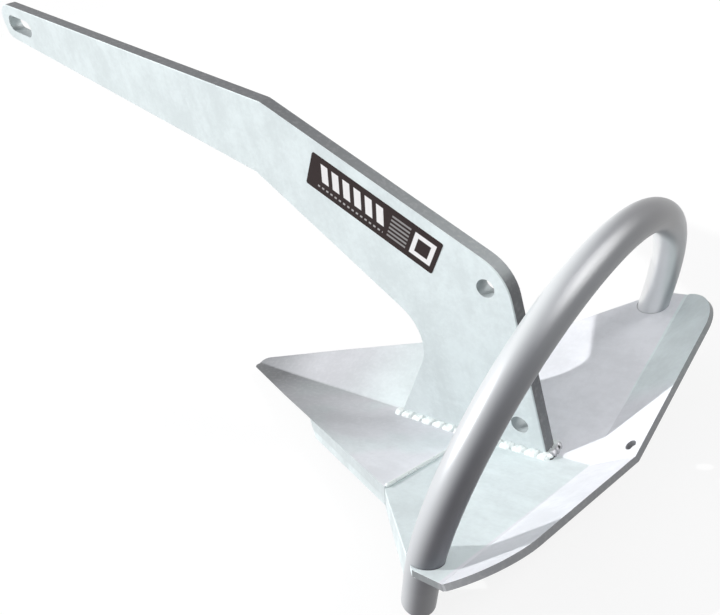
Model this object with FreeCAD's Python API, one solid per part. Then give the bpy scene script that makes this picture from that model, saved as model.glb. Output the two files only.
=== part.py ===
"""Scoop anchor: a cranked plate shank welded upright on a folded two-plate blade,
with a bent tube hoop over the rear of the blade.

Millimetres, +Z up, +X towards the toe, +Y to port.  The shapes are worked out in the
blade's own frame, where the toe's tip is at x = 0 and the centre fold of the toe is the
line y = 0, z = 0.  At the end every piece moves to the part's frame, whose origin is
the middle of the bounding box's bottom face.
"""
import FreeCAD, Part

import math
import os

V = FreeCAD.Vector

# Blade
toe_rise_deg = 16.0           # each half of the toe rises this much from the centre fold
toe_length = 325.5            # tip to the cross seam
toe_thickness = 10.0
toe_tip_radius = 13.0         # the tip is round, seen from above
toe_knee = (104.5, 49.9)      # distance behind the tip and half width where the edge turns
toe_half_width = 132.5        # half width at the cross seam
bevel_width = 20.0            # how far the under bevel reaches in from the toe's edge
bevel_end = 173.5             # where the bevel leaves the upper edge, behind the tip
bevel_rake_deg = 53.0         # lean of the bevel's end and of the skids' front ends
rear_rise_deg = 15.5          # each half of the rear plate rises this much
rear_length = 112.5           # cross seam to the cross fold, along the centre fold
rear_climb_deg = 2.0          # the centre fold of the rear plate climbs backwards
rear_thickness = 5.0
flare_deg = 39.1              # the rear plate's side edge, from the fore-and-aft line
wing_half_width = 206.0
wing_side_length = 27.0       # straight stretch at the widest place
fold_sweep_deg = 0.8          # the cross fold runs back this much towards the wings
flap_run = 47.6               # width of the rear flap at the centre
flap_rise_deg = 32.2          # rise of the flap at the centre, from level
flap_straight_half = 146.0    # half of the straight stretch of the trailing edge
wing_corner_bulge = 0.155     # how far the wing's round corner stands off its chord, as a share
flap_hole_radius = 5.0
flap_hole_offset = 14.0       # to starboard
flap_hole_from_edge = 12.0

# Shank.  Its points are (x, z) from the heel of its foot, along the blade's fold
shank_thickness = 15.0
shank_edge_break = 0.8
foot_depth = 2.0              # the foot reaches this far below the fold before it is trimmed
heel_behind_seam = 76.8
nose_reach = 700.4            # heel of the foot to the shank's nose
nose_top_radius = 17.5
nose_bottom_radius = 16.0
crank_top = (252.5, 329.8)    # bend in the upper edge
arm_top_deg = 18.0            # upper edge ahead of the bend
heel_top_deg = 31.8           # upper edge behind the bend
heel_radius = 46.0
heel_rear_deg = 85.1          # rear edge, from level
crank_bottom = (286.4, 261.4)
arm_bottom_deg = 22.5
throat_deg = 39.9
throat_radius = 46.0
throat_foot_deg = 60.0        # front edge of the foot, from level
foot_length = 164.8
slot_from_nose = (38.4, 440.8)   # middle of the slot, back from the nose, and its height
slot_length = 50.5
slot_width = 19.0
slot_deg = 19.5
upper_hole = (36.6, 168.3)
lower_hole = (23.1, 33.3)
shank_hole_radius = 8.5

# Label
label_ahead_of_upper_hole = 161.7    # from the hole to the label's upper forward corner
label_below_edge = 11.0              # square to the shank's upper edge
label_length = 150.0
label_height = 35.0
label_thickness = 0.4
label_corner_radius = 2.0

# Hoop
tube_diameter = 26.9
tube_wall = 3.2
hoop_inset = 16.0                # wing's widest place to the tube's centre line
hoop_behind_seam = 83.5
arch_height = 39.8               # level of the arch's centre
arch_lean_deg = 19.6             # the hoop leans back this much
leg_tuck_deg = 3.0               # each leg turns in this much below the arch
leg_length = 34.0
tube_hole_clearance = 0.3

# Skids
skid_thickness = 6.0
skid_depth = 17.0                # under the toe, below its upper face and square to it
skid_depth_at_tube = 30.5

# Welds
shank_bead_radius = 5.2
shank_bead_pitch = 10.6
bead_core = 0.78                 # core of a blobby bead, as a share of its blobs' radius
bead_stand_off = 0.3             # how far a bead's middle stands out of its corner, same share
heel_bead_radius = 4.6
front_bead_radius = 2.6
seam_bead_radius = 2.2
under_bead_radius = 3.5
tube_bead_radius = 3.0
skid_bead_radius = 3.0

toe_rise = math.tan(math.radians(toe_rise_deg))
rise = math.tan(math.radians(rear_rise_deg))
sweep = math.tan(math.radians(fold_sweep_deg))
climb = math.tan(math.radians(rear_climb_deg))
seam_x = -toe_length
heel_x = seam_x - heel_behind_seam
nose_x = heel_x + nose_reach
foot_front_x = heel_x + foot_length
arch_radius = wing_half_width - hoop_inset
arch_x = seam_x - hoop_behind_seam
fold_x = seam_x - rear_length
fold_z = rear_length * climb
trailing_x = fold_x - flap_run * math.cos(math.radians(flap_rise_deg))
trailing_z = fold_z + flap_run * math.sin(math.radians(flap_rise_deg))
tube_radius = tube_diameter / 2
far = 2000.0                     # larger than the whole anchor


def toe_z(x, y):
    """Height of the toe's upper face on the port side."""
    return toe_rise * y


def rear_z(x, y):
    """Height of the rear plate's upper face on the port side."""
    return rise * y + climb * (seam_x - x)


def flap_z(x, y):
    """Height of the flap's upper face on the port side."""
    slope = (trailing_z - fold_z) / (fold_x - trailing_x)
    return fold_z + slope * (fold_x - sweep * y - x) + (rise + climb * sweep) * y


def face_normal(height):
    """Upward unit normal of one of the flat faces above."""
    origin = V(0, 0, height(0, 0))
    ahead = V(1, 0, height(1, 0)) - origin
    aside = V(0, 1, height(0, 1)) - origin
    normal = ahead.cross(aside)
    normal.normalize()
    return normal


def on(height, x, y):
    return V(x, y, height(x, y))


def half_space(point, normal):
    """A large block that fills the side of a plane that the normal points to."""
    block = Part.makeBox(2 * far, 2 * far, far, V(-far, -far, 0))
    turn = FreeCAD.Rotation(V(0, 0, 1), normal)
    block.Placement = FreeCAD.Placement(point, turn)
    return block


def mirrored(shape):
    return shape.mirror(V(0, 0, 0), V(0, 1, 0))


def plate(edges, height, thickness):
    """A flat plate below a closed outline that lies in one of the upper faces."""
    face = Part.Face(Part.Wire(Part.__sortEdges__(edges)))
    return face.extrude(face_normal(height) * -thickness)


def path(points):
    """Straight edges through the points, one after another."""
    return [Part.makeLine(a, b) for a, b in zip(points[:-1], points[1:])]


def cylinder_along(start, end, radius):
    return Part.makeCylinder(radius, (end - start).Length, start, end - start)


def two_sided(half):
    """Both halves of a folded plate, joined at the middle plane."""
    port = half.common(half_space(V(0, 0, 0), V(0, 1, 0)))
    return port.fuse(mirrored(port)).removeSplitter()


def toe_edge_y(x):
    """Half width of the toe behind its knee."""
    share = (-x - toe_knee[0]) / (toe_length - toe_knee[0])
    return toe_knee[1] + share * (toe_half_width - toe_knee[1])


def flare_y(x):
    """Side edge of the rear plate, ahead of its widest place."""
    return toe_half_width + (seam_x - x) * math.tan(math.radians(flare_deg))


def rake_plane():
    """Point and rearward normal of the plane where the bevel ends and the skid starts."""
    rake = math.radians(bevel_rake_deg)
    across = on(toe_z, 0, 1)
    across.normalize()
    slope = V(-math.cos(rake), 0, 0) - face_normal(toe_z) * math.sin(rake)
    normal = across.cross(slope)
    normal.normalize()
    if normal.x > 0:
        normal = normal * -1
    return on(toe_z, -bevel_end, toe_edge_y(-bevel_end)), normal


def bevel_side(start, end):
    """The part of space that one bevel leaves, inboard of the plane under an upper edge."""
    run = end - start
    down = face_normal(toe_z) * -1
    inward = run.cross(down)
    inward.normalize()
    if inward.y > 0:
        inward = inward * -1
    slope = inward * bevel_width + down * toe_thickness
    normal = run.cross(slope)
    normal.normalize()
    if normal.y > 0:
        normal = normal * -1
    return half_space(start, normal)


def make_toe_plate():
    """Folded toe, sharpened from below along the front part of its edges."""
    past = -toe_thickness
    behind_centre = toe_knee[0] - toe_tip_radius
    to_knee = math.atan2(toe_knee[1], -behind_centre)
    leaves_at = to_knee - math.acos(toe_tip_radius / math.hypot(behind_centre, toe_knee[1]))
    tip, halfway, shoulder = [
        on(toe_z, toe_tip_radius * (math.cos(angle) - 1), toe_tip_radius * math.sin(angle))
        for angle in (0, leaves_at / 2, leaves_at)]
    knee = on(toe_z, -toe_knee[0], toe_knee[1])
    corner = on(toe_z, seam_x, toe_half_width)
    fore = on(toe_z, 0, past)
    aft = on(toe_z, seam_x, past)
    edges = path([fore, tip]) + [Part.Arc(tip, halfway, shoulder).toShape()]
    edges += path([shoulder, knee, corner, aft, fore])
    half = plate(edges, toe_z, toe_thickness)
    point, normal = rake_plane()
    back = half.common(half_space(point, normal))
    front = half.common(half_space(point, normal * -1))
    front = front.common(bevel_side(shoulder, knee)).common(bevel_side(knee, corner))
    return two_sided(front.fuse(back))


def hoop_solid(radius):
    """Solid core of the hoop: a little over half a circle, then two straight legs."""
    lean = math.radians(arch_lean_deg)
    tuck = math.radians(leg_tuck_deg)
    up = V(-math.sin(lean), 0, math.cos(lean))
    centre = V(arch_x, 0, arch_height)
    side = V(0, arch_radius * math.cos(tuck), 0)
    start = centre + side - up * (arch_radius * math.sin(tuck))
    leg = up * -math.cos(tuck) - V(0, math.sin(tuck), 0)
    ring = Part.Face(Part.Wire(Part.Circle(start, leg, radius).toShape()))
    arch = ring.revolve(centre, up.cross(V(0, 1, 0)), -180 - 2 * leg_tuck_deg)
    port = Part.makeCylinder(radius, leg_length, start, leg)
    return arch.fuse([port, mirrored(port)]).removeSplitter()


def make_roll_bar():
    """Open tube bent into the hoop."""
    return hoop_solid(tube_radius).cut(hoop_solid(tube_radius - tube_wall))


def hoop_foot(drop):
    """Where the hoop's port centre line is a drop below the rear plate's upper face."""
    lean = math.radians(arch_lean_deg)
    along = 0.0
    for _ in range(20):
        x = arch_x - along * math.sin(lean)
        y = math.sqrt(arch_radius ** 2 - along ** 2)
        along = (rear_z(x, y) - drop - arch_height) / math.cos(lean)
    return V(x, y, rear_z(x, y) - drop)


def make_rear_plate():
    """Thinner folded rear plate with a turned-up flap and round wing ends."""
    wide_x = seam_x - (wing_half_width - toe_half_width) / math.tan(math.radians(flare_deg))
    past = -2 * rear_thickness
    beyond = rear_thickness * 3
    seam = on(rear_z, seam_x, past)
    corner = on(rear_z, seam_x, toe_half_width)
    wide = on(rear_z, wide_x, wing_half_width)
    back = on(rear_z, fold_x - beyond, wing_half_width)
    back_in = on(rear_z, fold_x - beyond, past)
    main = plate(path([seam, corner, wide, back, back_in, seam]), rear_z, rear_thickness)

    front_in = on(flap_z, fold_x + beyond, past)
    front = on(flap_z, fold_x + beyond, wing_half_width)
    turn = on(flap_z, wide_x - wing_side_length, wing_half_width)
    straight = on(flap_z, trailing_x, flap_straight_half)
    end = on(flap_z, trailing_x, past)
    outward = face_normal(flap_z).cross(straight - turn)
    bulge = (turn + straight) * 0.5 - outward * wing_corner_bulge
    edges = path([front_in, front, turn]) + [Part.Arc(turn, bulge, straight).toShape()]
    edges += path([straight, end, front_in])
    flap = plate(edges, flap_z, rear_thickness)

    fold = on(rear_z, fold_x, 0)
    fold_run = on(rear_z, fold_x - sweep, 1) - fold
    bisector = (face_normal(rear_z) + face_normal(flap_z)).cross(fold_run)
    bisector.normalize()
    if bisector.x < 0:
        bisector = bisector * -1
    main = main.common(half_space(fold, bisector))
    flap = flap.common(half_space(fold, bisector * -1))
    both = two_sided(main.fuse(flap).removeSplitter())

    normal = face_normal(flap_z)
    slope = V(fold_x - trailing_x, 0, fold_z - trailing_z)
    slope.normalize()
    spot = on(flap_z, trailing_x, flap_hole_offset) + slope * flap_hole_from_edge
    bottom = spot - normal * (2 * rear_thickness)
    hole = Part.makeCylinder(flap_hole_radius, 4 * rear_thickness, bottom, normal)
    return both.cut([mirrored(hole), hoop_solid(tube_radius + tube_hole_clearance)])


def rounded(points):
    """Closed outline in the XZ plane from (x, z, corner radius) points."""
    corners = [V(x, 0, z) for x, z, _ in points]
    edges = []
    last = None
    first = None
    count = len(points)
    for i, (x, z, radius) in enumerate(points):
        before = corners[i - 1] - corners[i]
        after = corners[(i + 1) % count] - corners[i]
        before.normalize()
        after.normalize()
        half = before.getAngle(after) / 2
        if radius > 0:
            reach = radius / math.tan(half)
            enter = corners[i] + before * reach
            leave = corners[i] + after * reach
            toward = before + after
            toward.normalize()
            top = corners[i] + toward * (radius / math.sin(half) - radius)
            arc = Part.Arc(enter, top, leave).toShape()
        else:
            enter = leave = corners[i]
            arc = None
        if last is not None:
            edges.append(Part.makeLine(last, enter))
        if arc is not None:
            edges.append(arc)
        if first is None:
            first = enter
        last = leave
    edges.append(Part.makeLine(last, first))
    return Part.Wire(edges)


def on_shank(point):
    """A shank point in the blade's frame."""
    return heel_x + point[0], point[1]


def crossing(p, p_deg, q, q_deg):
    """Where two lines in the XZ plane meet, each given by a point and its slope."""
    a, b = math.radians(p_deg), math.radians(q_deg)
    denominator = math.sin(b - a)
    step = ((q[0] - p[0]) * math.sin(b) - (q[1] - p[1]) * math.cos(b)) / denominator
    return p[0] + step * math.cos(a), p[1] + step * math.sin(a)


def make_shank(toe, rear):
    """Cranked plate standing in the blade's fold, with the shackle slot in its nose."""
    half = shank_thickness / 2
    top = on_shank(crank_top)
    bottom = on_shank(crank_bottom)
    nose_top = crossing(top, arm_top_deg, (nose_x, 0), 90)
    nose_bottom = crossing(bottom, arm_bottom_deg, (nose_x, 0), 90)
    rear_foot = (heel_x, half * rise + climb * heel_behind_seam)
    front_foot = (foot_front_x, half * toe_rise)
    heel = crossing(top, heel_top_deg, rear_foot, heel_rear_deg)
    throat = crossing(bottom, throat_deg, front_foot, 180 - throat_foot_deg)
    toe_end = crossing(front_foot, 180 - throat_foot_deg, (0, -foot_depth), 0)
    heel_end = crossing(rear_foot, heel_rear_deg, (0, -foot_depth), 0)
    outline = rounded([
        (nose_top[0], nose_top[1], nose_top_radius),
        (top[0], top[1], 0),
        (heel[0], heel[1], heel_radius),
        (heel_end[0], heel_end[1], 0),
        (toe_end[0], toe_end[1], 0),
        (throat[0], throat[1], throat_radius),
        (bottom[0], bottom[1], 0),
        (nose_bottom[0], nose_bottom[1], nose_bottom_radius)])
    body = Part.Face(outline).extrude(V(0, shank_thickness, 0))
    body.translate(V(0, -half, 0))
    rims = [e for e in body.Edges
            if abs(abs(e.CenterOfMass.y) - half) < 1e-6 and e.BoundBox.ZMax > 0]
    body = body.makeChamfer(shank_edge_break, rims)
    for x, z in (on_shank(upper_hole), on_shank(lower_hole)):
        body = body.cut(Part.makeCylinder(shank_hole_radius, 2 * shank_thickness,
                                          V(x, -shank_thickness, z), V(0, 1, 0)))
    return body.cut([make_slot(), toe, rear])


def make_slot():
    """The obround shackle slot's cutter."""
    turn = math.radians(slot_deg)
    along = V(math.cos(turn), 0, math.sin(turn)) * ((slot_length - slot_width) / 2)
    centre = V(nose_x - slot_from_nose[0], -shank_thickness, slot_from_nose[1])
    radius = slot_width / 2
    ends = [Part.makeCylinder(radius, 2 * shank_thickness, centre + along * k, V(0, 1, 0)) for k in (1, -1)]
    middle = Part.makeBox(2 * along.Length, 2 * shank_thickness, slot_width, V(-along.Length, 0, -radius))
    middle.rotate(V(0, 0, 0), V(0, 1, 0), -slot_deg)
    middle.translate(centre)
    return ends[0].fuse([ends[1], middle]).removeSplitter()


def make_label():
    """Thin sticker on the shank's port face, in line with the upper edge."""
    turn = math.radians(heel_top_deg)
    aft = V(-math.cos(turn), 0, -math.sin(turn))
    down = V(math.sin(turn), 0, -math.cos(turn))
    start_x = on_shank(upper_hole)[0] + label_ahead_of_upper_hole
    top = on_shank(crank_top)
    edge_z = top[1] + (start_x - top[0]) * math.tan(turn)
    start = V(start_x, 0, edge_z - label_below_edge / math.cos(turn))
    corners = [start, start + aft * label_length,
               start + aft * label_length + down * label_height, start + down * label_height]
    outline = rounded([(c.x, c.z, label_corner_radius) for c in corners])
    sheet = Part.Face(outline).extrude(V(0, label_thickness, 0))
    sheet.translate(V(0, shank_thickness / 2, 0))
    return sheet


def strip_section(height, rise_deg, x, y, top, low, width):
    """Cross section of an edge strip, between two depths below the blade's upper edge."""
    angle = math.radians(rise_deg)
    down = V(0, math.sin(angle), -math.cos(angle))
    aside = V(0, -math.cos(angle), -math.sin(angle))
    outer_top = on(height, x, y) + down * top
    outer_low = on(height, x, y) + down * low
    ring = [outer_top, outer_low, outer_low + aside * width, outer_top + aside * width]
    return Part.makePolygon(ring + ring[:1])


def make_skid(rear):
    """Port skid: a bent strip under the blade's side edge, from mid toe to the hoop."""
    toe_angle = math.atan((toe_half_width - toe_knee[1]) / (toe_length - toe_knee[0]))
    toe_width = skid_thickness / math.cos(toe_angle)
    rear_width = skid_thickness / math.cos(math.radians(flare_deg))
    start_x = -toe_knee[0]
    tube_x = arch_x
    toe_ends = [strip_section(toe_z, toe_rise_deg, x, toe_edge_y(x), toe_thickness, skid_depth, toe_width)
                for x in (start_x, seam_x)]
    rear_ends = [strip_section(rear_z, rear_rise_deg, x, flare_y(x), rear_thickness, depth, rear_width)
                 for x, depth in ((seam_x, skid_depth), (tube_x, skid_depth_at_tube))]
    point, normal = rake_plane()
    front = Part.makeLoft(toe_ends, True, True).common(half_space(point, normal))
    strip = front.fuse(Part.makeLoft(rear_ends, True, True)).removeSplitter()
    return strip.cut([rear, hoop_solid(tube_radius + tube_hole_clearance)])


def bead_chain(start, end, radius, pitch):
    """A weld bead of overlapping blobs on a thinner core."""
    run = end - start
    count = max(int(round(run.Length / pitch)), 1)
    core = cylinder_along(start, end, radius * bead_core)
    blobs = [Part.makeSphere(radius, start + run * (i / count)) for i in range(count + 1)]
    return core.fuse(blobs)


def make_shank_weld(others):
    """Port fillet weld along the shank's foot, over the toe and the rear plate."""
    y = shank_thickness / 2 + shank_bead_radius * bead_stand_off
    first = on(toe_z, foot_front_x, y)
    kink = on(toe_z, seam_x, y)
    last = on(rear_z, heel_x, y)
    bead = bead_chain(first, kink, shank_bead_radius, shank_bead_pitch)
    bead = bead.fuse(bead_chain(kink, last, shank_bead_radius, shank_bead_pitch))
    return bead.cut(others)


def make_end_weld(x, level, radius, others):
    """Bead across one end of the shank's foot."""
    half = shank_thickness / 2
    bead = bead_chain(V(x, -half, level), V(x, half, level), radius, shank_bead_pitch / 2)
    return bead.cut(others)


def make_seam_weld(others):
    """Thin bead on the port half of the cross seam, beside the shank."""
    inner = on(toe_z, seam_x, shank_thickness / 2 + shank_bead_radius)
    outer = on(toe_z, seam_x, toe_half_width - seam_bead_radius / 2)
    return cylinder_along(inner, outer, seam_bead_radius).cut(others)


def make_under_weld(others):
    """Fillet under the seam, in the step between the toe and the thinner plate."""
    stand_off = under_bead_radius * bead_stand_off
    step = V(-stand_off, 0, 0) - face_normal(rear_z) * (rear_thickness + stand_off)
    inner = on(rear_z, seam_x, 0) + step
    outer = on(rear_z, seam_x, toe_half_width - 2 * skid_thickness) + step
    port = cylinder_along(inner, outer, under_bead_radius)
    middle = Part.makeSphere(under_bead_radius, inner)
    return port.fuse([mirrored(port), middle]).cut(others)


def make_roll_bar_weld(others):
    """Ring of weld under the port wing, round the hoop's foot."""
    stand_off = tube_bead_radius * bead_stand_off
    centre = hoop_foot(rear_thickness + stand_off)
    normal = face_normal(rear_z)
    ring = Part.makeTorus(tube_radius + stand_off, tube_bead_radius, centre, normal)
    flare = math.radians(flare_deg)
    inboard = V(-math.sin(flare), -math.cos(flare), 0)
    edge = on(rear_z, seam_x, toe_half_width)
    ring = ring.common(half_space(edge, inboard))
    ring = ring.common(half_space(edge - normal * rear_thickness, normal * -1))
    return ring.cut(others)


def make_skid_weld(others):
    """Fillet in the inner corner between the port skid and the rear plate."""
    stand_off = skid_bead_radius * bead_stand_off
    width = skid_thickness / math.cos(math.radians(flare_deg)) + stand_off
    ends = []
    for x in (seam_x - 2 * skid_thickness, arch_x + 2 * tube_radius):
        angle = math.radians(rear_rise_deg)
        down = V(0, math.sin(angle), -math.cos(angle))
        aside = V(0, -math.cos(angle), -math.sin(angle))
        ends.append(on(rear_z, x, flare_y(x)) + down * (rear_thickness + stand_off) + aside * width)
    return cylinder_along(ends[0], ends[1], skid_bead_radius).cut(others)


def main_body(shape):
    """The largest solid of a trimmed piece, without the crumbs that trimming leaves."""
    return max(shape.Solids, key=lambda solid: solid.Volume)


def main():
    toe = make_toe_plate()
    rear = make_rear_plate()
    hoop = make_roll_bar()
    shank = make_shank(toe, rear)
    skid = make_skid(rear)
    base = [shank, toe, rear]
    shank_weld = make_shank_weld(base)
    beside = base + [shank_weld, mirrored(shank_weld)]
    front_level = shank_thickness / 2 * toe_rise
    heel_level = shank_thickness / 2 * rise + climb * heel_behind_seam
    front_x = foot_front_x + front_bead_radius * bead_stand_off
    behind_x = heel_x - heel_bead_radius * bead_stand_off
    skids = [skid, mirrored(skid)]
    roll_bar_weld = make_roll_bar_weld([rear, hoop, skid])

    pieces = {
        "shank": shank,
        "label": make_label(),
        "toe_plate": toe,
        "rear_plate": rear,
        "roll_bar": hoop,
        "shank_front_weld": make_end_weld(front_x, front_level, front_bead_radius, beside),
        "shank_heel_weld": make_end_weld(behind_x, heel_level, heel_bead_radius, beside),
        "seam_under_weld": make_under_weld([toe, rear] + skids)}
    sided = {
        "skid": skid,
        "shank_weld": shank_weld,
        "seam_weld": make_seam_weld(beside),
        "roll_bar_weld": roll_bar_weld,
        "skid_weld": make_skid_weld([rear, skid, toe, hoop, roll_bar_weld])}
    for name, shape in sided.items():
        pieces["port_" + name] = shape
        pieces["starboard_" + name] = mirrored(shape)

    hoop_back = arch_x - arch_radius * math.sin(math.radians(arch_lean_deg)) - tube_radius
    flap_back = trailing_x - rear_thickness * face_normal(flap_z).x
    rearmost = min(hoop_back, flap_back)
    keel = toe_thickness / math.cos(math.radians(toe_rise_deg))
    shift = V(-(nose_x + rearmost) / 2, 0, keel)
    os.makedirs("parts", exist_ok=True)
    for name, shape in pieces.items():
        solid = main_body(shape)
        dropped = sum(s.Volume for s in shape.Solids) - solid.Volume
        solid.translate(shift)
        solid.exportStep("parts/" + name + ".step")
        box = solid.optimalBoundingBox()
        print("%-22s %9.1f mm3, dropped %.1f, x %.1f %.1f, y %.1f %.1f, z %.1f %.1f, valid %s" % (
            name, solid.Volume, dropped, box.XMin, box.XMax, box.YMin, box.YMax, box.ZMin, box.ZMax,
            solid.isValid()))
    print("moved by", shift)


main()
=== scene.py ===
# %% [markdown]
# # A galvanised scoop anchor
# This lesson dresses a imported CAD model of an anchor that stands on its keel, with the
# two feet of its hoop just clear of the floor. The steel pieces keep their CAD meshes.
# What the scene adds is the finish and the small irregular forms: zinc that is pale and
# softly mottled on the flat faces, with painted shade on the cut edges and painted light
# and shade on the tube, weld beads that are rows of separate tacks, and a plain black
# sticker on the shank.

import math

import bmesh
import bpy
from mathutils import Matrix, Vector, noise


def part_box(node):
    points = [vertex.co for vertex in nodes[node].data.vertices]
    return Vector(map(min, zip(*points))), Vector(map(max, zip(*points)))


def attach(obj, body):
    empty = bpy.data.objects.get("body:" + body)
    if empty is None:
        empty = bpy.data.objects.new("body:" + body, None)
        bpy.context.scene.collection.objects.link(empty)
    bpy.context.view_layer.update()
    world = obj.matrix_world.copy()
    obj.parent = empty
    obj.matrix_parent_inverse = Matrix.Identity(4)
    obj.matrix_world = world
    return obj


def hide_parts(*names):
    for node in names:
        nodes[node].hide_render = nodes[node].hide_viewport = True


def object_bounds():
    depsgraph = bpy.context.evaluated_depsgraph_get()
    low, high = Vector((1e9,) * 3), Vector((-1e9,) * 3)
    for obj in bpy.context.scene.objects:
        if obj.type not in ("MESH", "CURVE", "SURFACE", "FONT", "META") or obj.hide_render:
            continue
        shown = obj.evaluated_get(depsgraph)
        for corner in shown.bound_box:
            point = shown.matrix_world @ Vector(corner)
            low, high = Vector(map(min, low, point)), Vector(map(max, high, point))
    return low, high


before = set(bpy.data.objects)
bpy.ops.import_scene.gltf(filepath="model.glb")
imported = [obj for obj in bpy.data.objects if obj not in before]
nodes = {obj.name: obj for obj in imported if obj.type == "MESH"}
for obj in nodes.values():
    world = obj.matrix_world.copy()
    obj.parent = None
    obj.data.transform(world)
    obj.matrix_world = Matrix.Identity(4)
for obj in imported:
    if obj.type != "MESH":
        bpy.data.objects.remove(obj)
cad_box = [list(corner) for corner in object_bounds()]
print("CAD nodes:", len(nodes), "box:", cad_box)

# %% [markdown]
# ## Shader maths as Python
# A zinc surface is a sum of soft patterns, and sums read best as sums. `Wire` wraps a
# shader socket, so that `1 - mask` or `cloud * 0.3` adds the Math node by itself. The
# other way is to link every node by hand, which hides a short formula in many lines.

# %% Sockets that take part in Python maths
class Wire:
    """One output socket of a node tree, usable in ordinary arithmetic."""

    def __init__(self, graph, socket):
        self.graph = graph
        self.socket = socket

    def output(self, name):
        """Another output of the same node."""
        return Wire(self.graph, self.socket.node.outputs[name])

    def maths(self, operation, *values):
        return self.graph.node("ShaderNodeMath", {"operation": operation}, dict(enumerate(values)))

    def __add__(self, other):
        return self.maths("ADD", self, other)

    def __sub__(self, other):
        return self.maths("SUBTRACT", self, other)

    def __rsub__(self, other):
        return self.maths("SUBTRACT", other, self)

    def __mul__(self, other):
        return self.maths("MULTIPLY", self, other)

    def __truediv__(self, other):
        return self.maths("DIVIDE", self, other)

    __radd__ = __add__
    __rmul__ = __mul__

    def size(self):
        """The value without its sign."""
        return self.maths("ABSOLUTE", self)

    def larger(self, other):
        """The larger of the two values."""
        return self.maths("MAXIMUM", self, other)

    def beat(self):
        """The part after the decimal point, which repeats from 0 to 1."""
        return self.maths("FRACT", self)

    def within(self, low, high):
        """0 at low, 1 at high and beyond, with a soft start and end."""
        settings = {"interpolation_type": "SMOOTHSTEP"}
        sockets = {"Value": self, "From Min": low, "From Max": high}
        return self.graph.node("ShaderNodeMapRange", settings, sockets)


print("wires know: + - * /, size, larger, beat, within")

# %% [markdown]
# `Graph` is a node tree. Its `node` makes any node from its type, its settings and the
# values or wires of its sockets, so that every other node here is one short call.

# %% A node tree
class Graph:
    """The node tree of a material or of the world."""

    def __init__(self, tree):
        self.tree = tree

    def put(self, socket, value):
        """Link a wire to a socket, or set a plain value on it."""
        if isinstance(value, Wire):
            self.tree.links.new(value.socket, socket)
        else:
            socket.default_value = value

    def node(self, kind, settings=None, sockets=None):
        """A new node, set up in this order: its settings, then its sockets."""
        made = self.tree.nodes.new(kind)
        for name, value in (settings or {}).items():
            setattr(made, name, value)
        for name, value in (sockets or {}).items():
            self.put(made.inputs[name], value)
        return Wire(self, made.outputs[0])

    def split(self, vector):
        """The x, y and z of a vector."""
        parts = self.node("ShaderNodeSeparateXYZ", None, {0: vector})
        return parts, parts.output(1), parts.output(2)

    def vector_maths(self, operation, vector, other):
        return self.node("ShaderNodeVectorMath", {"operation": operation}, {0: vector, 1: other})

    def dot(self, vector, other):
        """How far one vector points along the other."""
        return self.vector_maths("DOT_PRODUCT", vector, other).output("Value")

    def distance(self, vector, place):
        """How far one place is from the other."""
        return self.vector_maths("DISTANCE", vector, place).output("Value")

    def blend(self, mask, low, high):
        """The colour low where the mask is 0, and high where it is 1."""
        sockets = {0: mask, 6: low, 7: high}
        return self.node("ShaderNodeMix", {"data_type": "RGBA"}, sockets).output(2)

    def backdrop_rays(self):
        """1 for what the camera, a reflection or a glass sees of floor and world."""
        rays = self.node("ShaderNodeLightPath")
        seen = rays.output("Is Camera Ray")
        return seen.larger(rays.output("Is Glossy Ray")).larger(rays.output("Is Transmission Ray"))


print("a graph knows: node, split, dot, distance, blend, backdrop_rays")

# %% [markdown]
# `Finish` is the graph of one material. The zinc differs from place to place, so it
# knows where each point lies on the object and which way the surface faces there. Both
# are read from the object itself, and nothing slides when the view changes.

# %% The finish of a piece
class Finish(Graph):
    """A material for one finish of the anchor."""

    def __init__(self, name, **constants):
        self.material = bpy.data.materials.new(name)
        self.material.use_nodes = True
        super().__init__(self.material.node_tree)
        self.shader = self.tree.nodes["Principled BSDF"]
        self.surface(**constants)
        coordinates = self.node("ShaderNodeTexCoord")
        self.place = coordinates.output("Object")
        self.facing = coordinates.output("Normal")

    def surface(self, **sockets):
        """Feed the shader. Base_Color stands for the socket Base Color."""
        for name, value in sockets.items():
            self.put(self.shader.inputs[name.replace("_", " ")], value)

    def mottle(self, patch, detail=2.0, roughness=0.5, stretch=None):
        """Noise between 0 and 1 whose patches are about so many metres wide."""
        place = self.place
        if stretch:
            place = self.vector_maths("MULTIPLY", place, stretch)
        sockets = {"Vector": place, "Scale": 1 / patch, "Detail": detail, "Roughness": roughness}
        return self.node("ShaderNodeTexNoise", None, sockets)

    def bumps(self, height, strength, distance):
        """A surface normal that follows the height."""
        sockets = {"Height": height, "Strength": strength, "Distance": distance}
        return self.node("ShaderNodeBump", None, sockets)


def colour(red, green, blue):
    return (red, green, blue, 1.0)


print("a finish knows: place, facing, surface, mottle, bumps")
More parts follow.
